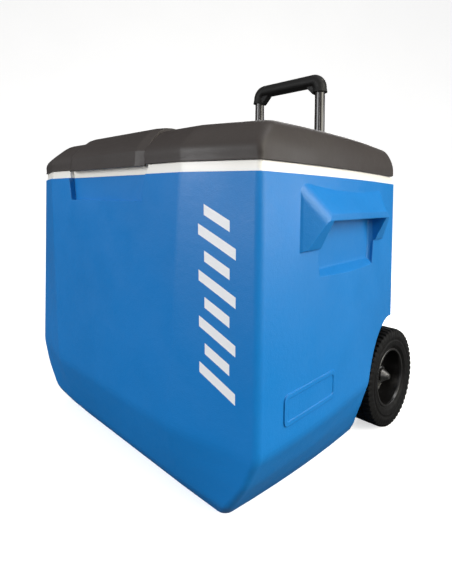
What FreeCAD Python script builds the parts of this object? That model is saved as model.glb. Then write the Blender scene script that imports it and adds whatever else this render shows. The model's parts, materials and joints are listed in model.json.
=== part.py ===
import FreeCAD, Part
import math
import os

from FreeCAD import Placement, Rotation, Vector
from Sketcher import Constraint

# Cooler on wheels.  X is to the right seen from the front, +Y to the rear, +Z up.
# The origin is on the floor, below the middle of the whole object.
# Every length is in millimetres and every angle in degrees.

DIMENSIONS = {
    # heights
    "rim_z": 385.0, "band_height": 11.2, "lid_gap": 0.4, "lid_height": 45.6,
    "chamfer_top": 97.0, "chamfer_knee": 24.0,
    # plan of the casing at the rim
    "front_y": -228.0, "flat_half": 169.5, "corner_x": 260.5, "corner_y": -200.0,
    "bow_x": 262.5, "bow_y": -27.0, "rear_half": 219.0, "rear_y": 184.0,
    # walls
    "shell_wall": 4.0, "liner_wall": 3.0, "lid_wall": 3.0, "band_inset": 2.5,
    # tub
    "tub_floor": 28.0, "shelf_z": 112.0, "shelf_y": 84.0,
    # recess under the lid's front lip
    "recess_half": 105.9, "recess_foot_half": 95.0, "recess_bottom": 352.0, "recess_depth": 8.0,
    "lip_y": -232.7, "lip_drop": 2.0,
    # hooded side grips
    "grip_x": 248.7, "grip_y": -14.0, "grip_turn": 6.5, "hood_root": 119.0, "hood_bar": 95.0,
    "hood_out": 20.0, "pocket_half": 84.0, "pocket_in": 6.5, "badge_proud": 1.4,
    # wheels and axle
    "wheel_y": 156.7, "wheel_z": 76.0, "tyre_radius": 76.0, "bead_radius": 46.0,
    "wheel_inner": 181.0, "wheel_outer": 232.0, "arch_radius": 96.0, "arch_inner": 174.0,
    "axle_radius": 6.0, "axle_half": 224.0, "running_fit": 0.05, "bush_radius": 9.0,
    "underside_z": 62.0, "groove_half": 7.5, "step_y": 98.0,
    # rear channel and tow handle
    "channel_half": 98.0, "channel_y": 160.0, "tow_x": 75.0, "tow_y": 177.0,
    "tow_radius": 9.5, "tow_bottom": 225.0, "tow_top": 582.0,
    "guide_radius": 12.5, "guide_bore": 11.2, "guide_bottom": 70.0, "guide_top": 366.0,
    "grip_top": 596.0, "grip_radius": 12.5, "socket_bottom": 560.0, "elbow_radius": 15.0,
    # lid hinge
    "hinge_y": 160.0, "hinge_z": 435.2, "pin_radius": 2.5, "bracket_x": 145.0,
    "bracket_half": 23.0, "slot_play": 0.5, "notch_y": 142.0, "slot_y": 148.0,
}

doc = FreeCAD.newDocument("CoolerOnWheels")
sheet = doc.addObject("Spreadsheet::Sheet", "Dims")
for row, (alias, value) in enumerate(DIMENSIONS.items(), start=1):
    sheet.set(f"A{row}", alias)
    sheet.set(f"B{row}", str(value))
    sheet.setAlias(f"B{row}", alias)
doc.recompute()


def dim(alias):
    """A driving dimension, read from the sheet."""
    return float(getattr(sheet, alias))


subparts = []


def keep(obj, label):
    """Name a finished sub-part and list it for the export."""
    obj.Label = label
    subparts.append(obj)
    return obj


# ---------------------------------------------------------------- plain solids

def block(x0, x1, y0, y1, z0, z1):
    return Part.makeBox(x1 - x0, y1 - y0, z1 - z0, Vector(x0, y0, z0))


def rod(radius, start, end):
    start, end = Vector(*start), Vector(*end)
    return Part.makeCylinder(radius, (end - start).Length, start, end - start)


def prism(corners, sweep):
    """A polygon of 3-D corners swept along a vector."""
    points = [Vector(*corner) for corner in corners]
    face = Part.Face(Part.makePolygon(points + points[:1]))
    return face.extrude(Vector(*sweep))


def mirrored(solid):
    return solid.mirror(Vector(0, 0, 0), Vector(1, 0, 0))


def both_sides(solids):
    return list(solids) + [mirrored(solid) for solid in solids]


# ---------------------------------------------------------------- plan outlines

def offset_plan(points, distances):
    """Move each edge of a convex anticlockwise polygon inwards by its own distance."""
    count = len(points)
    lines = []
    for i in range(count):
        (ax, ay), (bx, by) = points[i], points[(i + 1) % count]
        length = math.hypot(bx - ax, by - ay)
        ux, uy = (bx - ax) / length, (by - ay) / length
        lines.append((ax - uy * distances[i], ay + ux * distances[i], ux, uy))
    moved = []
    for i in range(count):
        px, py, ux, uy = lines[i - 1]
        qx, qy, vx, vy = lines[i]
        along = ((qx - px) * vy - (qy - py) * vx) / (ux * vy - uy * vx)
        moved.append((px + ux * along, py + uy * along))
    return moved


def rounded_wire(points, reaches, z):
    """A closed wire with each corner rounded by an arc that starts 'reach' before it."""
    count = len(points)
    corners = []
    for i, reach in enumerate(reaches):
        here = Vector(points[i][0], points[i][1], z)
        back = Vector(points[i - 1][0], points[i - 1][1], z) - here
        on = Vector(points[(i + 1) % count][0], points[(i + 1) % count][1], z) - here
        back.normalize()
        on.normalize()
        start, end = here + back * reach, here + on * reach
        half = math.acos(max(-1.0, min(1.0, back.dot(on)))) / 2
        radius = reach * math.tan(half)
        inward = (back + on).normalize()
        middle = here + inward * (radius / math.sin(half) - radius)
        corners.append((start, middle, end))
    edges = []
    for i, (start, middle, end) in enumerate(corners):
        edges.append(Part.Arc(start, middle, end).toShape())
        edges.append(Part.makeLine(end, corners[(i + 1) % count][0]))
    return Part.Wire(edges)


def loft(wires, ruled=True):
    return Part.makeLoft(wires, True, ruled)


# ---------------------------------------------------------------- casing outline

def along_height(pairs, z, blur=7.0):
    """A value given at a few heights, with straight runs between them and soft bends."""
    def straight(height):
        for (z1, v1), (z0, v0) in zip(pairs, pairs[1:]):
            if height >= z0 or z0 == pairs[-1][0]:
                return v0 + (v1 - v0) * (height - z0) / (z1 - z0)
    reach = max(0.0, min(blur, z, pairs[0][0] - z))
    steps = range(-4, 5)
    return sum(straight(z + reach * step / 4) for step in steps) / len(steps)


def casing_plan(z):
    """Corner points of the casing at height z, anticlockwise from the front left crease."""
    top, bend, knee = dim("rim_z"), dim("chamfer_top"), dim("chamfer_knee")

    def between(rim, *lower):
        """A value at the rim, the bend, half-way down, the knee and the foot, worked out at z."""
        return along_height(list(zip((top, bend, (bend + knee) / 2, knee, 0), (rim,) + lower)), z)
    front = between(dim("front_y"), -221.0, -210.0, -198.0, -177.0)
    flat = between(dim("flat_half"), 144.0, 139.0, 134.0, 122.0)
    corner_x = between(dim("corner_x"), 259.5, 241.0, 214.0, 192.5)
    corner_y = between(dim("corner_y"), -199.0, -197.5, -194.0, -175.5)
    bow_x = between(dim("bow_x"), 261.0, 245.0, 222.0, 203.0)
    rear_x = between(dim("rear_half"), 217.0, 210.0, 202.0, 187.0)
    rear_y = between(dim("rear_y"), dim("rear_y"), 182.0, 178.0, 172.0)
    right = [(flat, front), (corner_x, corner_y), (bow_x, dim("bow_y")), (rear_x, rear_y)]
    return right + [(-x, y) for x, y in reversed(right)]


def casing_reaches(points, corner, rear):
    """How far before each corner its rounding starts: soft crease, corner, long bow, rear."""
    front_part = math.dist(points[1], points[2]) - corner - 1.0
    rear_part = math.dist(points[2], points[3]) - rear - 1.0
    bow = min(front_part, rear_part)
    right = [3.5, corner, bow, rear]
    return right + right[::-1]


def casing_wire(z, inset, height=None):
    points = offset_plan(casing_plan(z), [inset] * 8)
    corner = max(4.0, 11.0 - 4.0 * min(1.0, z / 60) - inset)
    return rounded_wire(points, casing_reaches(points, corner, 10.0), z if height is None else height)


LEVELS = [0, 2, 5, 10, 16, 20, 24, 28, 33, 45, 53, 60, 67, 80, 89, 93, 97, 101, 106,
          200, 290, dim("rim_z")]


def casing_solid(inset):
    """The casing's closed outer form, or the form of its inner face, lifted off the floor."""
    top = dim("rim_z")
    return loft([casing_wire(z, inset, height=z + inset * (1 - z / top) + inset * 0.5 * z / top)
                 for z in LEVELS])


# ---------------------------------------------------------------- forms cut from the casing

def wheel_well(grow):
    """Round arch on the right side that the wheel stands in."""
    y, z = dim("wheel_y"), dim("wheel_z")
    return rod(dim("arch_radius") + grow, (dim("arch_inner") - grow, y, z), (320, y, z))


def underside_step(grow):
    """The raised underside behind the flat base, and the groove for the axle."""
    z, y, half = dim("underside_z") + grow, dim("wheel_y"), dim("groove_half") + grow
    front = dim("step_y") - grow
    step = prism([(-320, front, -2), (-320, front + 14, z), (-320, 260, z), (-320, 260, -2)], (640, 0, 0))
    side = dim("arch_inner") + 1
    groove = block(-side, side, y - half, y + half, z - 1, dim("wheel_z") + 1)
    crown = rod(half, (-side, y, dim("wheel_z") + 1), (side, y, dim("wheel_z") + 1))
    return [step, groove, crown]


def rear_channel(grow):
    half = dim("channel_half") + grow
    return block(-half, half, dim("channel_y") - grow, 260, -2, 460)


def finger_recess(grow):
    """Shallow pocket in the front, below the lid's lip, narrower at its foot."""
    foot, top = dim("recess_foot_half") + grow, dim("recess_half") + grow
    low, high = dim("recess_bottom") - grow, dim("rim_z") + dim("band_height") + 5
    back = dim("front_y") + dim("recess_depth") + grow
    corners = [(-foot, -260, low), (foot, -260, low), (top, -260, high), (-top, -260, high)]
    return prism(corners, (0, 260 + back, 0))


# ---------------------------------------------------------------- hooded side grips

def beside_wall(solid):
    """Move a solid drawn at the origin (X outwards, Y along the wall) to the right wall."""
    placed = solid.copy()
    placed.Placement = Placement(Vector(dim("grip_x"), dim("grip_y"), 0),
                                 Rotation(Vector(0, 0, 1), dim("grip_turn")))
    return placed


def grip_hood():
    """Sloping hood that ends in the grip bar, with slanted gussets at both ends."""
    out, root, bar = dim("hood_out"), dim("hood_root"), dim("hood_bar")
    profile = [(-9, -140, 379), (-1, -140, 375), (out, -140, 342), (out, -140, 334.5),
               (4, -140, 302), (-9, -140, 297)]
    wedge = prism(profile, (0, 280, 0))
    plan = [(-9, -root - 8, 290), (0, -root, 290), (out + 1, -bar, 290),
            (out + 1, bar, 290), (0, root, 290), (-9, root + 8, 290)]
    hood = wedge.common(prism(plan, (0, 0, 100)))

    def ridge(edge):
        """True for the two edges where the slope meets a gusset."""
        box = edge.BoundBox
        return box.YLength > 5 and box.ZLength > 15 and box.XLength > 10 and box.ZMin > 340
    hood = hood.makeFillet(24.0, [edge for edge in hood.Edges if ridge(edge)])
    outside = [edge for edge in hood.Edges if edge.BoundBox.XMin > out - 1]
    return beside_wall(hood.makeFillet(2.5, outside))


def grip_pocket(grow):
    """Hollow below and behind the grip bar for the fingers: its sides lean outwards and
    draw in towards its foot."""
    depth, half = dim("pocket_in") + grow, dim("pocket_half") + grow
    profile = [(-depth, -120, 351 + grow), (10, -120, 351), (12.5, -120, 334), (60, -120, 334),
               (60, -120, 257), (12, -120, 257), (-depth, -120, 276 - grow)]
    pocket = prism(profile, (0, 240, 0))
    plan = [(-depth, 3 - half, 200), (0, -half, 200), (60, -half, 200),
            (60, half, 200), (0, half, 200), (-depth, half - 3, 200)]
    pocket = pocket.common(prism(plan, (0, 0, 200)))
    front_view = [(-20, 9 - half, 240), (-20, half - 9, 240), (-20, half, 303),
                  (-20, half, 360), (-20, -half, 360), (-20, -half, 303)]
    pocket = pocket.common(prism(front_view, (90, 0, 0)))
    inner = [edge for edge in pocket.Edges if edge.BoundBox.XMax < -depth + 0.5]
    return beside_wall(pocket.makeFillet(5.0, inner))


def blank_badge(wall):
    """A plain raised plate low on the side wall, a little proud of that wall."""
    def skin(y, z):
        line = Part.makeLine(Vector(150, y, z), Vector(320, y, z))
        return max(vertex.X for vertex in line.common(wall).Vertexes)
    low, high, front, back = 118, 152, -158, -52
    proud = dim("badge_proud")
    corners = [Vector(skin(y, z), y, z) for y, z in ((front, low), (back, low), (back, high), (front, high))]
    centre = (corners[0] + corners[1] + corners[2] + corners[3]) * 0.25
    along = (corners[1] - corners[0]).normalize()
    up = (corners[3] - corners[0]).normalize()
    out = along.cross(up).normalize()
    turn = Rotation(along, up, out, "XYZ")
    half_y, half_z = (back - front) / 2, (high - low) / 2
    plate = block(-half_y, half_y, -half_z, half_z, -4, proud)
    plate = plate.makeFillet(7.0, [edge for edge in plate.Edges if abs(edge.BoundBox.ZLength) > 3])
    window = block(5 - half_y, half_y - 5, 5 - half_z, half_z - 5, proud - 0.7, proud + 2)
    window = window.makeFillet(4.0, [edge for edge in window.Edges if abs(edge.BoundBox.ZLength) > 2])
    plate = plate.cut(window)
    plate.Placement = Placement(centre, turn)
    return plate


# ---------------------------------------------------------------- screws

HINGE_SCREWS = [(side * (dim("bracket_x") + step), z) for side in (-1, 1)
                for step, z in ((-14, 372), (14, 372), (0, 342))]
GUIDE_SCREWS = [(x, z) for x in (-36, 36) for z in (100, 352)]
SADDLE_SCREWS = [(side * 135, dim("wheel_y") + step) for side in (-1, 1) for step in (-19, 13)]


def screw(head, tip, head_radius=4.0, head_height=2.2, shank=2.0):
    """A pan-head screw from the seat of its head to its tip, with a cross recess."""
    head, tip = Vector(*head), Vector(*tip)
    out = (head - tip).normalize()
    solid = Part.makeCylinder(shank, (tip - head).Length, head, tip - head)
    cap = Part.makeCylinder(head_radius, head_height, head, out)
    rim = [edge for edge in cap.Edges
           if (edge.BoundBox.Center - head).dot(out) > head_height - 0.01]
    cap = cap.makeFillet(1.0, rim[:1])
    side = out.cross(Vector(1, 0, 0))
    if side.Length < 0.1:
        side = out.cross(Vector(0, 0, 1))
    slots = []
    for turn in (0, 90):
        slot = Part.makeBox(head_radius * 1.1, 0.9, 2, Vector(-head_radius * 0.55, -0.45, 0))
        slot.rotate(Vector(0, 0, 0), Vector(0, 0, 1), turn)
        slot.Placement = Placement(head + out * (head_height - 1.1), Rotation(Vector(0, 0, 1), out)) \
            .multiply(slot.Placement)
        slots.append(slot)
    return solid.fuse(cap).cut(slots).removeSplitter()


def hinge_screw_seats():
    rear = dim("rear_y") + 4.5
    return [((x, rear, z), (x, dim("rear_y") - 3.8, z)) for x, z in HINGE_SCREWS]


def guide_screw_seats():
    return [((x, 176, z), (x, dim("channel_y") - 3.8, z)) for x, z in GUIDE_SCREWS]


def saddle_screw_seats():
    z = dim("underside_z")
    return [((x, y, z - 5), (x, y, z + 3.8)) for x, y in SADDLE_SCREWS]


def screw_holes(seats):
    return [rod(2.0, head, tip) for head, tip in seats]


# ---------------------------------------------------------------- casing, insulation, tub

def tub(grow):
    """The tub's inside, grown by the liner's wall for the liner's outside."""
    def outline(z, height, front, x_front, x_rear, rear):
        points = [(x_front, front), (x_rear, rear), (-x_rear, rear), (-x_front, front)]
        points = offset_plan(points, [-grow] * 4)
        return rounded_wire(points, [38 + grow] * 4, height)
    low = outline(0, dim("tub_floor") - grow, -172, 204, 168, 138)
    high = outline(0, 402, -203, 238, 193, 142)
    form = loft([low, high])
    shelf = prism([(-320, dim("shelf_y") - 12 + grow, -5), (-320, dim("shelf_y") + grow, dim("shelf_z") - grow),
                   (-320, 260, dim("shelf_z") - grow), (-320, 260, -5)], (640, 0, 0))
    bulge_radius, bulge_inner = dim("arch_radius") + 17 - grow, dim("arch_inner") - 17 + grow
    y, z = dim("wheel_y"), dim("wheel_z")
    bulge = rod(bulge_radius, (bulge_inner, y, z), (320, y, z))
    return form.cut([shelf] + both_sides([bulge]))


def inner_face():
    """The closed form of the casing's inner face."""
    wall = dim("shell_wall")
    cuts = [rear_channel(wall), finger_recess(wall)] + underside_step(wall)
    cuts += both_sides([wheel_well(wall), grip_pocket(wall)])
    return casing_solid(wall).cut(cuts)


def outer_shell():
    form = casing_solid(0)
    cuts = [rear_channel(0), finger_recess(0)] + underside_step(0) + both_sides([wheel_well(0)])
    form = form.cut(cuts)
    form = form.multiFuse(both_sides([grip_hood(), blank_badge(form)]))
    form = form.cut(both_sides([grip_pocket(0)]))
    holes = screw_holes(hinge_screw_seats() + guide_screw_seats() + saddle_screw_seats())
    return form.cut([inner_face()] + holes).removeSplitter()


def insulation():
    top = dim("rim_z")
    form = inner_face().cut(block(-320, 320, -320, 320, top, top + 20))
    return form.cut(tub(dim("liner_wall")))


def inner_liner():
    """Tub lining whose rim is the pale band between the casing and the lid."""
    base, top = dim("rim_z"), dim("rim_z") + dim("band_height")
    wires = [casing_wire(base, dim("band_inset"), height=base),
             casing_wire(base, dim("band_inset"), height=top)]
    band = loft(wires).cut([rear_channel(0), finger_recess(0)])
    wall = tub(dim("liner_wall")).cut(block(-320, 320, -320, 320, base + 1, 460))
    return band.fuse(wall).cut(tub(0)).removeSplitter()


# ---------------------------------------------------------------- lid

def lid_form(inset, raise_top=0.0):
    """The lid's closed form: upright skirt, sloping front, rounded sides, flat top."""
    base = dim("rim_z") + dim("band_height") + dim("lid_gap")
    rises = [(0.0, 0.0, 0.0), (0.18, 0.1, 0.0), (0.36, 1.2, 0.6), (0.5, 5.5, 2.0), (0.65, 12.5, 4.5),
             (0.8, 20.5, 8.0), (0.91, 28.0, 12.0), (0.98, 36.0, 18.0), (1.0, 50.0, 34.0)]
    wires = []
    height = dim("lid_height") - inset + raise_top
    for share, front, side in rises:
        front, side = front + inset, side + inset
        rear = side * 0.8 + inset * 0.2
        edges = [front, side, side, rear, side, side, front, front]
        points = offset_plan(casing_plan(dim("rim_z")), edges)
        reaches = casing_reaches(points, 5.0 + share * 4, 14.0)
        wires.append(rounded_wire(points, reaches, base + height * share))
    return loft(wires, ruled=False)


def hinge_round(radius):
    """What the lid loses at its lower rear edge to turn about the hinge."""
    y, z = dim("hinge_y"), dim("hinge_z")
    corner = block(-320, 320, y, y + 80, z - 60, z)
    return corner.cut(rod(radius, (-320, y, z), (320, y, z)))


def hinge_slots(grow):
    half = dim("bracket_half") + dim("slot_play") + grow
    x = dim("bracket_x")
    return both_sides([block(x - half, x + half, dim("slot_y") - grow, 260, 380, 460)])


def tow_notch(grow):
    half = dim("channel_half") + grow
    return block(-half, half, dim("notch_y") - grow, 260, 380, 460)


def cup_holders(grow):
    top = dim("rim_z") + dim("band_height") + dim("lid_height")
    depth = 11.0 + grow
    return both_sides([Part.makeCone(39 + grow, 41.5 + grow, depth + 6, Vector(140, 5, top - depth))])


def lid_tongue(inset):
    """Raised centre panel that ends in the front lip, narrowing to the rear."""
    half, front = dim("recess_half") - inset, dim("lip_y") + inset
    base = dim("rim_z") + dim("band_height") + dim("lid_gap")
    low = base - dim("lip_drop") if not inset else base
    lift = 3.6
    plan = [(-half, -260, low), (half, -260, low), (86 - inset, -140, low), (70 - inset, -96, low),
            (-70 + inset, -96, low), (-86 + inset, -140, low)]
    column = prism(plan, (0, 0, 80))
    wires = []
    for share, back in ((0.0, 0.0), (0.36, 1.0), (0.5, 5.5), (0.65, 12.0), (0.8, 20.0), (0.91, 27.0),
                        (0.98, 35.0), (1.0, 46.0)):
        z = low + (dim("lid_height") + lift - inset + base - low) * share
        y0, y1 = front + back, -90.0
        side = half - (y0 + 260) * 0.166 + 1
        outline = [(16 - side, y0), (side - 16, y0), (side, y0 + 5.2),
                   (side, y1), (-side, y1), (-side, y0 + 5.2)]
        wires.append(Part.makePolygon([Vector(x, y, z) for x, y in outline + outline[:1]]))
    behind_lip = block(-320, 320, dim("lip_y") + 7, 260, low - 10, base)
    return loft(wires, ruled=True).common(column).cut(behind_lip)


def hinge_lugs():
    """Solid bosses each side of a hinge slot that hold the pin's ends."""
    y, z, x = dim("hinge_y"), dim("hinge_z"), dim("bracket_x")
    half = dim("bracket_half") + dim("slot_play")
    lugs = [block(x - half - 9, x - half, y - 9, y + 9, z - 10, z + 5),
            block(x + half, x + half + 9, y - 9, y + 9, z - 10, z + 5)]
    return both_sides(lugs)


def pin_hole(radius):
    y, z, x = dim("hinge_y"), dim("hinge_z"), dim("bracket_x")
    reach = dim("bracket_half") + dim("slot_play") + 8
    return both_sides([rod(radius, (x - reach, y, z), (x + reach, y, z))])


def lid_inside():
    """The hollow of the lid, which its foam and liner fill."""
    wall = dim("lid_wall")
    form = lid_form(wall)
    radius = dim("hinge_z") - dim("rim_z") - dim("band_height") - 0.6 - wall
    cuts = [hinge_round(radius), tow_notch(wall)] + hinge_slots(wall) + cup_holders(wall) + hinge_lugs()
    return form.cut(cuts)


def lid_shell():
    radius = dim("hinge_z") - dim("rim_z") - dim("band_height") - 0.6
    form = lid_form(0).fuse(lid_tongue(0))
    form = form.cut([lid_inside(), hinge_round(radius), tow_notch(0)] + hinge_slots(0) + cup_holders(0))
    return form.cut(pin_hole(dim("pin_radius"))).removeSplitter()


def lid_split():
    return dim("rim_z") + dim("band_height") + dim("lid_gap") + 3.0


def lid_foam():
    return lid_inside().cut(block(-320, 320, -320, 320, 380, lid_split()))


def lid_liner():
    """Pale underside of the lid with a shallow plug that drops into the tub."""
    base = dim("rim_z") + dim("band_height") + dim("lid_gap")
    plate = lid_inside().common(block(-320, 320, -320, 320, base - 1, lid_split()))
    points = offset_plan([(238, -203), (193, 142), (-193, 142), (-238, -203)], [5.0] * 4)
    rim = rounded_wire(points, [34] * 4, base)
    foot = rounded_wire(offset_plan(points, [4.0] * 4), [32] * 4, base - 12)
    plug = loft([foot, rim])
    hollow = offset_plan(points, [16.0] * 4)
    dish = loft([rounded_wire(hollow, [26] * 4, base - 13), rounded_wire(hollow, [26] * 4, base - 5)])
    return plate.fuse(plug.cut(dish)).removeSplitter()


# ---------------------------------------------------------------- document helpers

def shape_feature(label, shape):
    """A sub-part whose free-form shape is set directly."""
    feature = doc.addObject("Part::Feature", label)
    feature.Shape = shape
    feature.Placement = Placement()
    return keep(feature, label)


def amount(size):
    """The number that a size stands for: a plain number, or (alias, what is added)."""
    return float(size) if isinstance(size, (int, float)) else dim(size[0]) + size[1]


def formula(size):
    """The same size as an expression on the sheet."""
    return str(size) if isinstance(size, (int, float)) else f"Dims.{size[0]} + {size[1]}"


def closed_profile(target, corners):
    """A polygon whose corners are pairs of sizes."""
    points = [(amount(across), amount(up)) for across, up in corners]
    count = len(points)
    for i, point in enumerate(points):
        after = points[(i + 1) % count]
        target.addGeometry(Part.LineSegment(Vector(*point, 0), Vector(*after, 0)))
    for i in range(count):
        target.addConstraint(Constraint("Coincident", i, 2, (i + 1) % count, 1))
    for i, (across, up) in enumerate(corners):
        for kind, size in (("DistanceX", across), ("DistanceY", up)):
            index = target.addConstraint(Constraint(kind, -1, 1, i, 1, amount(size)))
            target.setExpression(f"Constraints[{index}]", formula(size))


def circle_profile(target, radius, centre=None):
    """A circle whose radius is a size, about the sketch's origin or a pair of sizes."""
    x, y = (amount(size) for size in centre) if centre else (0, 0)
    target.addGeometry(Part.Circle(Vector(x, y, 0), Vector(0, 0, 1), amount(radius)))
    if centre:
        for kind, size in zip(("DistanceX", "DistanceY"), centre):
            index = target.addConstraint(Constraint(kind, -1, 1, 0, 3, amount(size)))
            target.setExpression(f"Constraints[{index}]", formula(size))
    else:
        target.addConstraint(Constraint("Coincident", 0, 3, -1, 1))
    index = target.addConstraint(Constraint("Radius", 0, amount(radius)))
    target.setExpression(f"Constraints[{index}]", formula(radius))


def body(label, at=(0, 0, 0), turn=0):
    """An empty body placed at three sizes, turned about Z."""
    made = doc.addObject("PartDesign::Body", label)
    made.Placement = Placement(Vector(0, 0, 0), Rotation(Vector(0, 0, 1), turn))
    for axis, size in zip("xyz", at):
        made.setExpression(f".Placement.Base.{axis}", formula(size))
    return keep(made, label)


def sketch(owner, name, role):
    made = owner.newObject("Sketcher::SketchObject", name)
    plane = next(f for f in owner.Origin.OriginFeatures if f.Role == role)
    made.AttachmentSupport = [(plane, "")]
    made.MapMode = "FlatFace"
    return made


def turned(label, corners, at, turn=0):
    """A piece turned about the X axis: each corner is (along X, radius)."""
    owner = body(label, at, turn)
    profile = sketch(owner, label + "_profile", "XY_Plane")
    closed_profile(profile, corners)
    made = owner.newObject("PartDesign::Revolution", label + "_turned")
    made.Profile = profile
    made.ReferenceAxis = (profile, ["H_Axis"])
    made.Angle = 360
    return owner


def upright_tube(label, at, outer, inner, length):
    """A round tube standing on the body's own origin."""
    owner = body(label, at)
    ring = sketch(owner, label + "_outer", "XY_Plane")
    circle_profile(ring, outer)
    bore = (inner,) if inner else ()
    pad = owner.newObject("PartDesign::Pad", label + "_pad")
    pad.Profile = ring
    pad.setExpression("Length", formula(length))
    for radius in bore:
        hole = sketch(owner, label + "_bore", "XY_Plane")
        circle_profile(hole, radius)
        pocket = owner.newObject("PartDesign::Pocket", label + "_pocket")
        pocket.Profile = hole
        pocket.Type = 1
        pocket.Midplane = True
    return owner


def box_object(name, sizes, corner):
    """A Part::Box whose three sizes and corner follow the sheet."""
    made = doc.addObject("Part::Box", name)
    for side, size in zip(("Length", "Width", "Height"), sizes):
        made.setExpression(side, formula(size))
    for axis, size in zip("xyz", corner):
        made.setExpression(f".Placement.Base.{axis}", formula(size))
    return made


def cylinder_object(name, radius, length, start, direction=(0, 0, 1)):
    """A Part::Cylinder whose radius, length and start follow the sheet."""
    made = doc.addObject("Part::Cylinder", name)
    made.setExpression("Radius", formula(radius))
    made.setExpression("Height", formula(length))
    made.Placement = Placement(Vector(0, 0, 0), Rotation(Vector(0, 0, 1), Vector(*direction)))
    for axis, size in zip("xyz", start):
        made.setExpression(f".Placement.Base.{axis}", formula(size))
    return made


def fuse_objects(name, parts):
    made = doc.addObject("Part::MultiFuse", name)
    made.Shapes = parts
    made.Refine = True
    return made


def cut_object(name, base, tools):
    made = doc.addObject("Part::Cut", name)
    made.Base = base
    made.Tool = tools[0] if len(tools) == 1 else fuse_objects(name + "_tools", tools)
    return made


# ---------------------------------------------------------------- wheels and axle

def wheel_parts(side, turn):
    at = (0, ("wheel_y", 0), ("wheel_z", 0))
    inner, outer = "wheel_inner", "wheel_outer"
    tyre = [((inner, 4), ("bead_radius", 0)), ((inner, 1), ("bead_radius", 5)),
            ((inner, 0), ("tyre_radius", -12)), ((inner, 1), ("tyre_radius", -3)),
            ((inner, 5), ("tyre_radius", 0)), ((outer, -5), ("tyre_radius", 0)),
            ((outer, -1), ("tyre_radius", -3)), ((outer, 0), ("tyre_radius", -12)),
            ((outer, -1), ("bead_radius", 5)), ((outer, -4), ("bead_radius", 0))]
    turned("tyre_" + side, tyre, at, turn)
    rim = [((inner, 4), ("bead_radius", -5)), ((inner, 4), ("bead_radius", 0)),
           ((outer, -4), ("bead_radius", 0)), ((outer, -3), ("bead_radius", -1)),
           ((outer, -3), ("bead_radius", -4)), ((outer, -6), ("bead_radius", -5)),
           ((inner, 20), ("bead_radius", -9)), ((inner, 19), 15), ((inner, 33), 14),
           ((inner, 34), 12.5), ((inner, 34), ("bush_radius", 0)), ((inner, 4), ("bush_radius", 0)),
           ((inner, 4), 14), ((inner, 13), 15), ((inner, 13), ("bead_radius", -5))]
    turned("wheel_rim_" + side, rim, at, turn)
    bush = [((inner, 2), ("axle_radius", 0.05)), ((inner, 2), ("bush_radius", 2)),
            ((inner, 4), ("bush_radius", 2)), ((inner, 4), ("bush_radius", 0)),
            ((inner, 34), ("bush_radius", 0)), ((inner, 34), ("axle_radius", 0.05))]
    turned("wheel_bush_" + side, bush, at, turn)
    cap = [((inner, 34.4), ("axle_radius", 0)), ((inner, 34.4), ("axle_radius", 3.5)),
           ((inner, 36.5), ("axle_radius", 4)), ((inner, 39), ("axle_radius", 2.5)),
           (("axle_half", 3.2), ("axle_radius", -2)), (("axle_half", 3.2), 0.01),
           (("axle_half", 0), 0.01), (("axle_half", 0), ("axle_radius", 0))]
    turned("axle_cap_" + side, cap, at, turn)


def axle_and_washers():
    axle = cylinder_object("axle_rod", ("axle_radius", 0), 1, (("axle_half", 0), ("wheel_y", 0),
                                                               ("wheel_z", 0)), (-1, 0, 0))
    axle.setExpression("Height", "2 * Dims.axle_half")
    chamfered = doc.addObject("Part::Chamfer", "axle_chamfer")
    chamfered.Base = axle
    doc.recompute()
    ends = [i for i, edge in enumerate(axle.Shape.Edges, start=1) if edge.BoundBox.XLength < 1]
    chamfered.Edges = [(i, 0.8, 0.8) for i in ends]
    keep(chamfered, "wheel_axle")
    rings = []
    for side in (-1, 1):
        start = ("wheel_inner", -3.5) if side > 0 else 0
        discs = []
        for name, radius in (("disc", 13), ("bore", ("axle_radius", 0))):
            disc = cylinder_object(f"washer_{name}_{side + 1}", radius, 2.5,
                                   (start, ("wheel_y", 0), ("wheel_z", 0)), (side, 0, 0))
            if side < 0:
                disc.setExpression(".Placement.Base.x", "3.5 - Dims.wheel_inner")
            discs.append(disc)
        rings.append(cut_object(f"washer_{side + 1}", discs[0], discs[1:]))
    keep(fuse_objects("washer_pair", rings), "axle_washers")


def axle_saddle(side, name):
    """Plate screwed under the shelf, with a cradle that holds the axle up in its groove."""
    x = side * 135
    y, z = "wheel_y", "wheel_z"
    plate = box_object(f"{name}_plate", (36, 50, 5), (x - 18, (y, -28), ("underside_z", -5)))
    cradle = box_object(f"{name}_cradle", (30, 14.4, 16), (x - 15, (y, -7.2), ("underside_z", -1)))
    rib = box_object(f"{name}_rib", (4, 44, 3), (x - 2, (y, -25), ("underside_z", -8)))
    seat = cylinder_object(f"{name}_seat", ("axle_radius", 0), 60, (x - 30, (y, 0), (z, 0)), (1, 0, 0))
    holes = [cylinder_object(f"{name}_hole_{i}", 2, 30, (x, (y, step), 40))
             for i, step in enumerate((-19, 13))]
    recesses = [cylinder_object(f"{name}_head_{i}", 4.6, 10, (x, (y, step), 47))
                for i, step in enumerate((-19, 13))]
    solid = fuse_objects(f"{name}_solid", [plate, cradle, rib])
    keep(cut_object(f"{name}_cut", solid, [seat] + holes + recesses), name)


# ---------------------------------------------------------------- tow handle and its guides

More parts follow.
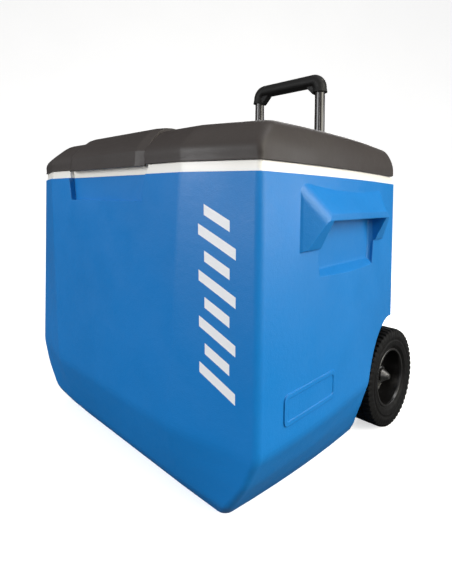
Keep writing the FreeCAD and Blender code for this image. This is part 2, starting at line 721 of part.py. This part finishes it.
def tow_tubes(side, name):
    x = side * dim("tow_x")
    at = (x, ("tow_y", 0), ("tow_bottom", 0))
    length = ("tow_top", -dim("tow_bottom"))
    upright_tube("handle_tube_" + name, at, ("tow_radius", 0), ("tow_radius", -1.5), length)
    guide_at = (x, ("tow_y", 0), ("guide_bottom", 0))
    guide_length = ("guide_top", -dim("guide_bottom"))
    upright_tube("guide_tube_" + name, guide_at, ("guide_radius", 0), ("guide_bore", 0), guide_length)
    collar = cylinder_object(f"collar_{name}", ("guide_bore", -0.1), 16,
                             (x, ("tow_y", 0), ("tow_bottom", -4)))
    socket = cylinder_object(f"collar_bore_{name}", ("tow_radius", 0), 30,
                             (x, ("tow_y", 0), ("tow_bottom", 0)))
    plug = cylinder_object(f"plug_{name}", ("tow_radius", -1.5), 22,
                           (x, ("tow_y", 0), ("tow_bottom", -2)))
    ring = cut_object(f"collar_ring_{name}", collar, [socket])
    keep(fuse_objects(f"stop_{name}", [ring, plug]), "end_stop_" + name)


def guide_block(name, bottom, height, guide_reach, through, relief):
    """Moulded block across the rear channel that holds both guide tubes."""
    width = 2 * (dim("channel_half") - 1)
    slab = box_object(f"{name}_slab", (width, 31, height),
                      (-width / 2, ("channel_y", 0), bottom))
    waist = box_object(f"{name}_waist", (108, 20, height + 2), (-54, ("channel_y", 16), bottom - 1))
    tools = [waist]
    for side in (-1, 1):
        x = side * dim("tow_x")
        tools.append(cylinder_object(f"{name}_socket_{side + 1}", ("guide_radius", 0), guide_reach[1],
                                     (x, ("tow_y", 0), guide_reach[0])))
        if through:
            tools.append(cylinder_object(f"{name}_bore_{side + 1}", ("tow_radius", 0.1), 60,
                                         (x, ("tow_y", 0), bottom)))
    for i, (x, z) in enumerate(GUIDE_SCREWS):
        if bottom < z < bottom + height:
            tools.append(cylinder_object(f"{name}_hole_{i}", 2, 30, (x, 150, z), (0, 1, 0)))
    if relief:
        tools.append(box_object(f"{name}_relief", (240, 6, 26), (-120, 159, 60)))
    keep(cut_object(f"{name}_cut", slab, tools), name)


def handle_grip():
    """Moulded grip carried round both elbows, with a filled inner corner at each one."""
    radius, y, bottom = dim("grip_radius"), dim("tow_y"), dim("socket_bottom")
    bend = dim("elbow_radius")
    high = dim("grip_top") - radius
    pieces = [rod(radius, (bend - dim("tow_x"), y, high), (dim("tow_x") - bend, y, high))]
    for side in (-1, 1):
        x = side * dim("tow_x")
        pieces.append(rod(radius, (x, y, bottom), (x, y, high - bend)))
        elbow = Part.makeTorus(bend, radius, Vector(0, 0, 0), Vector(0, 1, 0))
        elbow.translate(Vector(x - side * bend, y, high - bend))
        quarter = block(min(0, side * 80), max(0, side * 80), -80, 80, 0, 80)
        quarter.translate(Vector(x - side * bend, y, high - bend))
        pieces.append(elbow.common(quarter))
        inner = x - side * radius
        web = prism([(inner + side * 3, y - 7, high - radius - 15), (inner, y - 7, high - radius - 13),
                     (inner - side * 13, y - 7, high - radius), (inner - side * 13, y - 7, high - radius + 4),
                     (inner + side * 3, y - 7, high - radius + 4)], (0, 14, 0))
        pieces.append(web)
        pieces.append(Part.makeCone(radius + 1.4, radius - 0.4, 10, Vector(x, y, bottom)))
    form = pieces[0].multiFuse(pieces[1:])
    bores = [rod(dim("tow_radius"), (side * dim("tow_x"), y, 500), (side * dim("tow_x"), y, dim("tow_top")))
             for side in (-1, 1)]
    return form.cut(bores + screw_holes(grip_screw_seats())).removeSplitter()


def grip_screw_seats():
    y, z = dim("tow_y"), dim("socket_bottom") + 10
    rear, tip = y + dim("grip_radius") - 0.4, y + dim("tow_radius") - 1.5
    return [((side * dim("tow_x"), rear, z), (side * dim("tow_x"), tip, z)) for side in (-1, 1)]


# ---------------------------------------------------------------- hinge

def hinge_bracket(side, name):
    """Plate on the rear wall whose arm reaches over the rim to the hinge pin."""
    y, z, rear = dim("hinge_y"), dim("hinge_z"), dim("rear_y")
    half = dim("bracket_half")
    knuckle, slant = 6.4, 6.4 * math.sqrt(0.5)
    def at(across, up):
        return Vector(side * dim("bracket_x") - half, across, up)
    rim = dim("rim_z") + dim("band_height") + 0.4
    outline = [at(rear, 328), at(rear + 4.5, 328), at(rear + 4.5, 414), at(y + slant, z + slant)]
    inner = [at(y - slant, z - slant), at(y + 12, rim + 4), at(y + 18, rim), at(rear, rim), at(rear, 328)]
    edges = [Part.makeLine(a, b) for a, b in zip(outline, outline[1:])]
    edges.append(Part.Arc(outline[-1], at(y - slant, z + slant), inner[0]).toShape())
    edges += [Part.makeLine(a, b) for a, b in zip(inner, inner[1:])]
    form = Part.Face(Part.Wire(edges)).extrude(Vector(2 * half, 0, 0))
    x = side * dim("bracket_x")
    bore = rod(dim("pin_radius") + dim("running_fit"), (x - 40, y, z), (x + 40, y, z))
    return form.cut([bore] + screw_holes(hinge_screw_seats())).removeSplitter()


def hinge_pin(side, name):
    reach = dim("bracket_half") + dim("slot_play") + 8
    x = side * dim("bracket_x") - reach
    pin = cylinder_object(f"{name}_rod", ("pin_radius", 0), 2 * reach,
                          (x, ("hinge_y", 0), ("hinge_z", 0)), (1, 0, 0))
    keep(pin, name)


# ---------------------------------------------------------------- build

shape_feature("outer_shell", outer_shell())
shape_feature("insulation_foam", insulation())
shape_feature("inner_liner", inner_liner())
shape_feature("lid_shell", lid_shell())
shape_feature("lid_foam", lid_foam())
shape_feature("lid_liner", lid_liner())
shape_feature("handle_grip", handle_grip())
for label, seats in (("hinge_screws", hinge_screw_seats()), ("guide_screws", guide_screw_seats()),
                     ("saddle_screws", saddle_screw_seats()), ("grip_screws", grip_screw_seats())):
    shape_feature(label, Part.makeCompound([screw(head, tip) for head, tip in seats]))
for side, name, turn in ((-1, "left", 180), (1, "right", 0)):
    wheel_parts(name, turn)
    axle_saddle(side, "axle_saddle_" + name)
    tow_tubes(side, name)
    shape_feature("hinge_bracket_" + name, hinge_bracket(side, name))
    hinge_pin(side, "hinge_pin_" + name)
axle_and_washers()
guide_block("upper_guide_block", 336, 42, (330, dim("guide_top") - 330), True, False)
guide_block("lower_guide_block", 64, 46, (dim("guide_bottom"), 60), False, True)

doc.recompute()
for obj in doc.Objects:
    if {"Invalid", "Error"} & set(obj.State):
        raise RuntimeError(f"{obj.Name} failed: {obj.State}")
os.makedirs("parts", exist_ok=True)
for obj in subparts:
    shape = obj.Shape
    if shape.isNull() or not shape.isValid() or not shape.Solids:
        raise RuntimeError(f"{obj.Label} has no valid solid")
    shape.exportStep(os.path.join("parts", obj.Label + ".step"))
    print(f"{obj.Label:22s} solids {len(shape.Solids)}  volume {shape.Volume / 1000:9.2f} cm3")
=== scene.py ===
import json
import math

import bmesh
import bpy
from mathutils import Matrix, Vector


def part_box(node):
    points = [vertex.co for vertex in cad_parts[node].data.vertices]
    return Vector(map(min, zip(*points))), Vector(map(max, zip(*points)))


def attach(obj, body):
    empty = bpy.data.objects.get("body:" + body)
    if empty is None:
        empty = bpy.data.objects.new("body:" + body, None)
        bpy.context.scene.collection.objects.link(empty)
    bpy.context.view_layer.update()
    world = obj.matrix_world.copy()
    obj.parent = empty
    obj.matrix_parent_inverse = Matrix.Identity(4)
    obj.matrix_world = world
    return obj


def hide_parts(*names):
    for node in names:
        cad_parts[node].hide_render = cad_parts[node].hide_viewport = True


# Cooler on wheels: finishes for the CAD nodes, treaded tyres, and the studio around them.
# Lengths are in metres unless a name or a comment says millimetres.

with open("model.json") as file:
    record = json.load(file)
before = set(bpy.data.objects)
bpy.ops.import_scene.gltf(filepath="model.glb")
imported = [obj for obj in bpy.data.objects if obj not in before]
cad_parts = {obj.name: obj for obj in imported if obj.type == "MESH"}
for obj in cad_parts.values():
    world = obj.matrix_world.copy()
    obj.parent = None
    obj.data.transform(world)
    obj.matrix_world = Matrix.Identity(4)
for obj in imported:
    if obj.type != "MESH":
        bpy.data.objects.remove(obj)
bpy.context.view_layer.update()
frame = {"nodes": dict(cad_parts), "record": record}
scene = bpy.context.scene
nodes = frame["nodes"]


# ------------------------------------------------------------------ shader helpers

class Graph:
    """A material's node tree with short calls for the nodes that the finishes share."""

    def __init__(self, name):
        self.material = bpy.data.materials.new(name)
        self.material.use_nodes = True
        self.tree = self.material.node_tree
        self.shader = self.tree.nodes["Principled BSDF"]
        self.place = self.tree.nodes.new("ShaderNodeTexCoord").outputs["Object"]

    def link(self, source, target):
        self.tree.links.new(source, target)

    def feed(self, socket, value):
        """Give an input a value, or join it to another node's output."""
        if isinstance(value, bpy.types.NodeSocket):
            self.link(value, socket)
        else:
            socket.default_value = value

    def node(self, kind, **inputs):
        """A new node; an underscore in an input's name stands for a space."""
        made = self.tree.nodes.new(kind)
        for name, value in inputs.items():
            self.feed(made.inputs[name.replace("_", " ")], value)
        return made

    def noise(self, scale, detail=2.0, roughness=0.5, stretch=(1, 1, 1)):
        """Noise in object space, so it has a real size in metres."""
        spread = self.node("ShaderNodeMapping", Vector=self.place, Scale=stretch)
        made = self.node("ShaderNodeTexNoise", Vector=spread.outputs["Vector"], Scale=scale,
                         Detail=detail, Roughness=roughness)
        return made.outputs["Fac"]

    def ramp(self, value, low, high, from_value=0.0, to_value=1.0):
        """A straight, clamped change from one value to another between low and high."""
        made = self.node("ShaderNodeMapRange", Value=value, From_Min=low, From_Max=high,
                         To_Min=from_value, To_Max=to_value)
        return made.outputs["Result"]

    def mix(self, factor, first, second):
        """The first colour at factor 0, the second at factor 1."""
        made = self.tree.nodes.new("ShaderNodeMix")
        made.data_type = "RGBA"
        self.feed(made.inputs[0], factor)
        self.feed(made.inputs[6], first)
        self.feed(made.inputs[7], second)
        return made.outputs[2]

    def math(self, operation, first, second=0.0):
        made = self.tree.nodes.new("ShaderNodeMath")
        made.operation = operation
        self.feed(made.inputs[0], first)
        self.feed(made.inputs[1], second)
        return made.outputs[0]

    def rounded(self, radius):
        """Normals of the same surface with its edges rounded off."""
        made = self.node("ShaderNodeBevel", Radius=radius)
        made.samples = 6
        return made.outputs["Normal"]

    def edges(self, radius):
        """1 along edges and 0 on flat faces, from how far rounding turns the normal."""
        turned = self.tree.nodes.new("ShaderNodeVectorMath")
        turned.operation = "DOT_PRODUCT"
        self.link(self.rounded(radius), turned.inputs[0])
        self.link(self.tree.nodes.new("ShaderNodeNewGeometry").outputs["Normal"], turned.inputs[1])
        return self.ramp(turned.outputs["Value"], 0.995, 0.90)

    def bump(self, height, distance, strength=1.0, under=None):
        made = self.node("ShaderNodeBump", Height=height, Distance=distance, Strength=strength)
        if under is not None:
            self.link(under, made.inputs["Normal"])
        return made.outputs["Normal"]


def shade(color, factor):
    """A lighter or darker version of a colour."""
    return tuple(min(1.0, channel * factor) for channel in color[:3]) + (1.0,)


def moulded(name, color, roughness, grain=900.0, grain_depth=0.00012, tone=0.06, wear=0.25,
            wear_tint=1.7, specular=0.5, coat=0.0, rough_range=0.08, edge=0.0014, print_mask=None):
    """Moulded plastic: fine stipple, slow tone drift, faint scuffs and paler worn edges."""
    g = Graph(name)
    drift = g.ramp(g.noise(5.0, 3.0), 0.3, 0.7)
    base = g.mix(drift, shade(color, 1 - tone), shade(color, 1 + tone))
    speck = g.ramp(g.noise(grain * 0.7, 1.0), 0.35, 0.65)
    base = g.mix(g.math("MULTIPLY", speck, tone), base, shade(color, 1.35))
    scuff = g.ramp(g.noise(34.0, 5.0, 0.65, (1.0, 1.0, 4.0)), 0.66, 0.74)
    base = g.mix(g.math("MULTIPLY", scuff, wear * 0.22), base, shade(color, wear_tint))
    worn = g.math("MULTIPLY", g.edges(edge), g.ramp(g.noise(60.0, 3.0), 0.35, 0.65, 0.3, 1.0))
    base = g.mix(g.math("MULTIPLY", worn, wear), base, shade(color, wear_tint))
    if print_mask is not None:
        base = g.mix(print_mask(g), base, (0.80, 0.81, 0.84, 1.0))
    g.link(base, g.shader.inputs["Base Color"])
    rough = g.ramp(g.noise(18.0, 4.0, 0.6), 0.3, 0.7, roughness - rough_range, roughness + rough_range)
    g.link(rough, g.shader.inputs["Roughness"])
    coarse = g.bump(g.noise(grain * 0.22, 2.0), grain_depth * 2.2, 0.5, g.rounded(edge))
    g.link(g.bump(g.noise(grain, 2.0, 0.6), grain_depth, 1.0, coarse), g.shader.inputs["Normal"])
    g.shader.inputs["Specular IOR Level"].default_value = specular
    g.shader.inputs["Coat Weight"].default_value = coat
    g.shader.inputs["Coat Roughness"].default_value = 0.25
    return g.material


def metal(name, color, roughness, brushed=0.15, metallic=1.0, coat=0.0):
    """Plated or painted metal with fine drawing marks and a little dulling."""
    g = Graph(name)
    marks = g.noise(900.0, 2.0, 0.6, (1.0, 1.0, 0.03))
    dull = g.ramp(g.noise(40.0, 4.0), 0.35, 0.75)
    base = g.mix(g.math("MULTIPLY", dull, 0.35), shade(color, 1.0), shade(color, 0.72))
    base = g.mix(g.math("MULTIPLY", g.edges(0.0006), 0.3), base, shade(color, 1.5))
    g.link(base, g.shader.inputs["Base Color"])
    rough = g.ramp(marks, 0.3, 0.7, roughness - brushed * 0.4, roughness + brushed)
    g.link(rough, g.shader.inputs["Roughness"])
    g.link(g.bump(marks, 0.00003, 0.6), g.shader.inputs["Normal"])
    g.shader.inputs["Metallic"].default_value = metallic
    g.shader.inputs["Coat Weight"].default_value = coat
    g.shader.inputs["Coat Roughness"].default_value = 0.08
    return g.material


def foam(name, color):
    """Closed-cell foam, with round cells in its bump and tone."""
    g = Graph(name)
    cells = g.node("ShaderNodeTexVoronoi", Vector=g.place, Scale=420.0).outputs["Distance"]
    base = g.mix(g.ramp(cells, 0.1, 0.6), shade(color, 1.05), shade(color, 0.8))
    g.link(base, g.shader.inputs["Base Color"])
    g.shader.inputs["Roughness"].default_value = 0.95
    g.link(g.bump(cells, 0.0006), g.shader.inputs["Normal"])
    return g.material


def rubber(name, color):
    """Tread rubber: matt and finely grained, with patches of dust and paler edges."""
    g = Graph(name)
    dust = g.ramp(g.noise(70.0, 5.0, 0.6), 0.42, 0.75)
    base = g.mix(g.math("MULTIPLY", dust, 0.5), shade(color, 0.9), shade(color, 2.6))
    base = g.mix(g.math("MULTIPLY", g.edges(0.0007), 0.5), base, shade(color, 4.0))
    g.link(base, g.shader.inputs["Base Color"])
    g.link(g.ramp(g.noise(120.0, 3.0), 0.3, 0.7, 0.5, 0.75), g.shader.inputs["Roughness"])
    g.link(g.bump(g.noise(1500.0, 2.0), 0.00015), g.shader.inputs["Normal"])
    g.shader.inputs["Specular IOR Level"].default_value = 0.15
    return g.material


# middle and half-width of the printed column, the foot of its first bar, the bars' pitch and number
PRINT_X, PRINT_HALF = 0.212, 0.022
PRINT_LOW, PRINT_PITCH, PRINT_ROWS = 0.160, 0.0245, 8
# the bars' slant, the part of a pitch that a bar fills, every other bar's smaller width as a part of
# the full one, and how far back the print may reach
PRINT_SLANT, PRINT_FILL, PRINT_NARROW, PRINT_BACK = 0.55, 0.47, 0.68, -0.19


def stripes(g):
    """Printed decoration: a column of slanted white bars down the right front flank."""
    split = g.node("ShaderNodeSeparateXYZ", Vector=g.place)
    x, y, z = split.outputs
    across = g.math("SUBTRACT", x, PRINT_X)
    slanted = g.math("ADD", z, g.math("MULTIPLY", across, PRINT_SLANT))
    row = g.math("DIVIDE", g.math("SUBTRACT", slanted, PRINT_LOW), PRINT_PITCH)
    bar = g.math("LESS_THAN", g.math("FRACT", row), PRINT_FILL)
    step = g.math("FRACT", g.math("MULTIPLY", g.math("FLOOR", row), 0.5))
    half = g.ramp(step, 0.0, 0.5, PRINT_HALF, PRINT_HALF * PRINT_NARROW)
    inside = g.math("LESS_THAN", g.math("ABSOLUTE", across), half)
    above = g.math("GREATER_THAN", slanted, PRINT_LOW)
    below = g.math("LESS_THAN", slanted, PRINT_LOW + PRINT_PITCH * PRINT_ROWS)
    ahead = g.math("LESS_THAN", y, PRINT_BACK)
    mask = bar
    for limit in (inside, above, below, ahead):
        mask = g.math("MULTIPLY", mask, limit)
    return mask


BLUE = (0.003, 0.169, 0.498)
CHARCOAL = (0.033, 0.027, 0.025)
FINISHES = {
    "blue_plastic": moulded("blue_plastic", BLUE, 0.42, grain=700.0, grain_depth=0.00016,
                            tone=0.05, wear=0.30, wear_tint=1.5, specular=0.36, print_mask=stripes),
    "white_plastic": moulded("white_plastic", (0.86, 0.83, 0.775), 0.36, grain=300.0,
                             grain_depth=0.00003, tone=0.02, wear=0.1, wear_tint=1.1),
    "charcoal_plastic": moulded("charcoal_plastic", CHARCOAL, 0.50, specular=0.36, grain=1100.0,
                                grain_depth=0.00012, tone=0.07, wear=0.35, wear_tint=2.0),
    "black_plastic": moulded("black_plastic", (0.022, 0.022, 0.023), 0.45, grain=1000.0, wear=0.3,
                             wear_tint=2.4),
    "black_grip": moulded("black_grip", (0.0050, 0.0046, 0.0044), 0.5, grain=1500.0,
                          grain_depth=0.0002, wear=0.3, wear_tint=3.0, specular=0.25),
    "black_gloss": moulded("black_gloss", (0.004, 0.0037, 0.0037), 0.22, grain=500.0,
                           grain_depth=0.00004, wear=0.3, wear_tint=3.0, rough_range=0.04, coat=0.35),
    "bush_plastic": moulded("bush_plastic", (0.55, 0.53, 0.48), 0.4, grain=600.0,
                            grain_depth=0.00004),
    "steel": metal("steel", (0.46, 0.46, 0.47), 0.32),
    "bright_metal": metal("bright_metal", (0.17, 0.165, 0.16), 0.28, brushed=0.1),
    "dark_tube": metal("dark_tube", (0.012, 0.0085, 0.0075), 0.24, brushed=0.05, metallic=0.0, coat=0.25),
    "foam": foam("foam", (0.72, 0.64, 0.42)),
    "tyre": rubber("tyre", (0.0020, 0.0019, 0.0020)),
}


def dress_frame():
    """Give every CAD node the finish of its material slot."""
    slot_of = {part["node"]: part["material_slot"] for part in frame["record"]["subparts"]}
    for name, obj in nodes.items():
        obj.data.materials.clear()
        obj.data.materials.append(FINISHES[slot_of[name]])


dress_frame()


# ------------------------------------------------------------------ tyres

# lugs round a tyre, mesh steps from one lug to the next, and how deep the gaps are in millimetres
LUGS, STEPS = 54, 6
LUG_DEPTH, RIB_DEPTH = 2.6, 1.6
TYRE_PROFILE = [
    # across the width from the inner face (0) to the outer face (1), radius in mm, what the point is
    (0.08, 46.0, "side"), (0.02, 50.0, "side"), (0.00, 62.0, "side"), (0.00, 66.0, "rib"),
    (0.02, 71.5, "rib"), (0.03, 74.6, "tread"), (0.10, 75.8, "tread"), (0.27, 76.0, "tread"),
    (0.285, 73.4, "groove"), (0.345, 73.4, "groove"), (0.36, 76.0, "mid"), (0.64, 76.0, "mid"),
    (0.655, 73.4, "groove"), (0.715, 73.4, "groove"), (0.73, 76.0, "tread"), (0.90, 75.8, "tread"),
    (0.97, 74.6, "tread"), (0.98, 71.5, "rib"), (1.00, 66.0, "rib"), (1.00, 62.0, "side"),
    (0.985, 60.5, "side"), (0.985, 58.5, "side"), (1.00, 57.0, "side"), (0.98, 50.0, "side"),
    (0.92, 46.0, "side"),
]


def tyre_mesh(name, node, outwards):
    """A tyre with lugs on its tread and short ribs round its shoulders, on the CAD tyre's place."""
    low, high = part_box(node)
    inner, outer = (low[0], high[0]) if outwards > 0 else (high[0], low[0])
    centre_y, centre_z = (low[1] + high[1]) / 2, (low[2] + high[2]) / 2
    bm = bmesh.new()
    rings = []
    for i in range(LUGS * STEPS):
        angle = 2 * math.pi * i / (LUGS * STEPS)
        ring = []
        for across, radius, kind in TYRE_PROFILE:
            shift = STEPS // 2 if kind == "mid" else 0
            phase = (i + shift) % STEPS
            if kind in ("tread", "mid") and phase < 2:
                radius -= LUG_DEPTH
            if kind == "rib" and phase < 3:
                radius -= RIB_DEPTH
            ring.append(bm.verts.new((inner + (outer - inner) * across,
                                      centre_y + radius / 1000 * math.cos(angle),
                                      centre_z + radius / 1000 * math.sin(angle))))
        rings.append(ring)
    for ring, following in zip(rings, rings[1:] + rings[:1]):
        for j in range(len(ring)):
            k = (j + 1) % len(ring)
            bm.faces.new((ring[j], following[j], following[k], ring[k]))
    bmesh.ops.recalc_face_normals(bm, faces=bm.faces)
    mesh = bpy.data.meshes.new(name)
    bm.to_mesh(mesh)
    bm.free()
    mesh.shade_smooth()
    mesh.set_sharp_from_angle(angle=math.radians(28))
    return mesh


def add_tyre(side, outwards):
    """Put a treaded tyre in place of the plain one; outwards is its outer side's sign along X."""
    node = "tyre_" + side
    tyre = bpy.data.objects.new("tread_tyre_" + side, tyre_mesh("tread_tyre_" + side, node, outwards))
    tyre.data.materials.append(FINISHES["tyre"])
    scene.collection.objects.link(tyre)
    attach(tyre, "wheel_" + side)
    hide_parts(node)


add_tyre("left", -1)
add_tyre("right", 1)


# ------------------------------------------------------------------ studio

PAPER_GLOW = 0.62


def add_floor():
    """Pale paper that curves up behind the cooler, seen bright but throwing little light back."""
    mesh = bpy.data.meshes.new("studio_floor")
    bm = bmesh.new()
    bend, rise, front, back, half = 4.0, 6.0, 5.0, 2.0, 9.0
    profile = [(-front, 0.0)]
    profile += [(back + bend * math.sin(a), bend * (1 - math.cos(a)))
                for a in (math.radians(9 * i) for i in range(11))]
    profile.append((back + bend, bend + rise))
    rows = [[bm.verts.new((x, y, z)) for y, z in profile] for x in (-half, half)]
    for i in range(len(profile) - 1):
        bm.faces.new((rows[0][i], rows[1][i], rows[1][i + 1], rows[0][i + 1]))
    for face in bm.faces:
        face.smooth = True
    bm.to_mesh(mesh)
    bm.free()
    floor = bpy.data.objects.new("studio_floor", mesh)
    floor.rotation_euler = (0, 0, math.radians(45))
    scene.collection.objects.link(floor)
    g = Graph("studio_paper")
    tone = g.mix(g.ramp(g.noise(1.5), 0.3, 0.7), (0.84, 0.84, 0.84, 1), (0.87, 0.87, 0.87, 1))
    seen = g.tree.nodes.new("ShaderNodeLightPath").outputs["Is Camera Ray"]
    g.link(g.mix(seen, (0.10, 0.10, 0.10, 1), tone), g.shader.inputs["Base Color"])
    g.shader.inputs["Emission Color"].default_value = (1, 1, 1, 1)
    g.link(g.math("MULTIPLY", seen, PAPER_GLOW), g.shader.inputs["Emission Strength"])
    g.shader.inputs["Roughness"].default_value = 0.9
    g.shader.inputs["Specular IOR Level"].default_value = 0.1
    mesh.materials.append(g.material)


def add_light(name, place, target, size, power, color=(1, 1, 1)):
    """A rectangular soft light that faces its target; power is in watts."""
    data = bpy.data.lights.new(name, "AREA")
    data.shape = "RECTANGLE"
    data.size, data.size_y = size
    data.energy = power
    data.color = color
    lamp = bpy.data.objects.new(name, data)
    lamp.location = place
    aim = Vector(target) - Vector(place)
    lamp.rotation_euler = aim.to_track_quat("-Z", "Y").to_euler()
    scene.collection.objects.link(lamp)


def studio_air():
    """Soft even light from all round, weaker near the floor than overhead, white where it is seen."""
    world = bpy.data.worlds.new("studio_air")
    world.use_nodes = True
    tree = world.node_tree
    height = tree.nodes.new("ShaderNodeSeparateXYZ")
    tree.links.new(tree.nodes.new("ShaderNodeTexCoord").outputs["Generated"], height.inputs["Vector"])
    fade = tree.nodes.new("ShaderNodeMapRange")
    for name, value in (("From Min", 0.0), ("From Max", 0.7), ("To Min", 0.22), ("To Max", 0.56)):
        fade.inputs[name].default_value = value
    tree.links.new(height.outputs["Z"], fade.inputs["Value"])
    seen = tree.nodes.new("ShaderNodeMath")
    seen.operation = "MAXIMUM"
    tree.links.new(fade.outputs["Result"], seen.inputs[0])
    tree.links.new(tree.nodes.new("ShaderNodeLightPath").outputs["Is Camera Ray"], seen.inputs[1])
    tree.nodes["Background"].inputs["Color"].default_value = (1, 1, 1, 1)
    tree.links.new(seen.outputs["Value"], tree.nodes["Background"].inputs["Strength"])
    return world


def add_lights():
    add_light("key_right", (2.3, 0.3, 1.25), (0.1, 0, 0.25), (1.5, 1.6), 56, (1.0, 0.965, 0.84))
    add_light("fill_left", (-0.7, -2.55, 0.8), (0, 0, 0.25), (1.5, 1.2), 45, (0.97, 0.985, 1.0))
    add_light("side_sheen", (2.1, 1.5, 0.5), (0.25, -0.1, 0.25), (1.2, 1.0), 22)
    add_light("top", (0.9, 0.3, 2.3), (0.1, 0, 0.3), (1.0, 1.0), 11)
    add_light("back_fill", (-1.3, 2.3, 1.6), (0, 0.1, 0.25), (1.4, 1.2), 24)
    add_light("glint", (1.75, -2.6, 0.95), (0.2, 0, 0.2), (0.45, 0.45), 7)
    scene.world = studio_air()


def add_camera():
    """A low view of the right front corner from a little below the rim."""
    yaw, pitch, roll = math.radians(45.65), math.radians(-0.04), math.radians(0.90)
    forward = Vector((-math.sin(yaw) * math.cos(pitch), math.cos(yaw) * math.cos(pitch), math.sin(pitch)))
    right = forward.cross(Vector((0, 0, 1))).normalized()
    up = right.cross(forward)
    turned_right = right * math.cos(roll) + up * math.sin(roll)
    turned_up = up * math.cos(roll) - right * math.sin(roll)
    data = bpy.data.cameras.new("camera")
    data.lens = 26.77  # millimetres, as the sensor's width is
    data.sensor_width = 36
    data.shift_y = -0.159
    data.clip_end = 100
    camera = bpy.data.objects.new("camera", data)
    axes = Matrix((turned_right, turned_up, -forward)).transposed()
    camera.matrix_world = Matrix.Translation((0.5389, -0.5198, 0.3569)) @ axes.to_4x4()
    scene.collection.objects.link(camera)
    scene.camera = camera


add_floor()
add_lights()
add_camera()
scene.view_settings.view_transform = "Standard"
